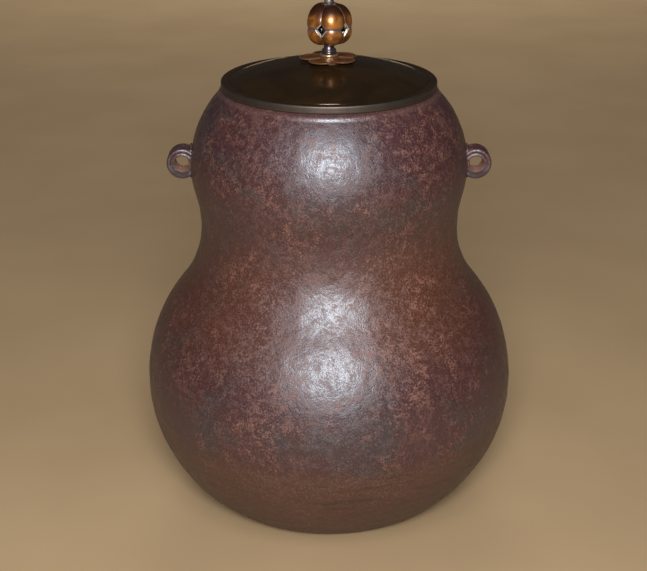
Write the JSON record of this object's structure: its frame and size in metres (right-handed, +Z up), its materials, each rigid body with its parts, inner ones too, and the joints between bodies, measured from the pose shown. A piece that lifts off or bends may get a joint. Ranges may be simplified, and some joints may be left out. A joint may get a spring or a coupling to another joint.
{
  "type": "chagama kettle",
  "caption": "Gourd-shaped cast-iron tea kettle with tubular side lugs for ring handles, a lift-off domed bronze lid and a turning pierced plum-blossom knob.",
  "frame": {"origin": "centre of the flat base, on the surface that the kettle stands on", "axes": "+Z up along the kettle's axis, +X towards the right lug, -Y towards the front"},
  "size_m": [0.176, 0.176, 0.244],
  "materials": {
    "rusted_iron": "granular cast skin, reddish-brown rust patina with grey mottling",
    "bare_iron": "plain grey iron strip",
    "black_lacquer": "baked black lacquer",
    "dark_bronze": "dark olive-brown patina, satin sheen",
    "brown_copper": "brown copper with worn bright edges",
    "amber_copper": "amber copper, browned on the petals and worn bright at the cut edges",
    "pale_bronze": "worn silvery bronze"
  },
  "bodies": {
    "kettle": {"kettle_body": "rusted_iron", "lug_left": "rusted_iron", "lug_right": "rusted_iron", "singing_iron_1": "bare_iron", "singing_iron_2": "bare_iron", "singing_iron_3": "bare_iron", "singing_iron_4": "bare_iron", "singing_iron_5": "bare_iron", "lacquer_bed_1": "black_lacquer", "lacquer_bed_2": "black_lacquer", "lacquer_bed_3": "black_lacquer", "lacquer_bed_4": "black_lacquer", "lacquer_bed_5": "black_lacquer"},
    "lid": {"lid_plate": "dark_bronze", "lid_spigot_ring": "dark_bronze", "knob_seat": "brown_copper", "stem_rod": "pale_bronze", "under_washer": "brown_copper", "finial_bud": "pale_bronze"},
    "knob": {"knob_neck": "pale_bronze", "knob_lower_shell": "amber_copper", "knob_spacer_sleeve": "pale_bronze", "knob_upper_shell": "amber_copper", "finial_calyx": "pale_bronze"}
  },
  "joints": [
    {"name": "lid_lift", "type": "slide", "parent": "kettle", "child": "lid", "axis": [0, 0, 1], "range_m": [0, 0.1]},
    {"name": "knob_spin", "type": "hinge", "parent": "lid", "child": "knob", "pos_m": [0, 0, 0.2294], "axis": [0, 0, 1], "continuous": true}
  ]
}
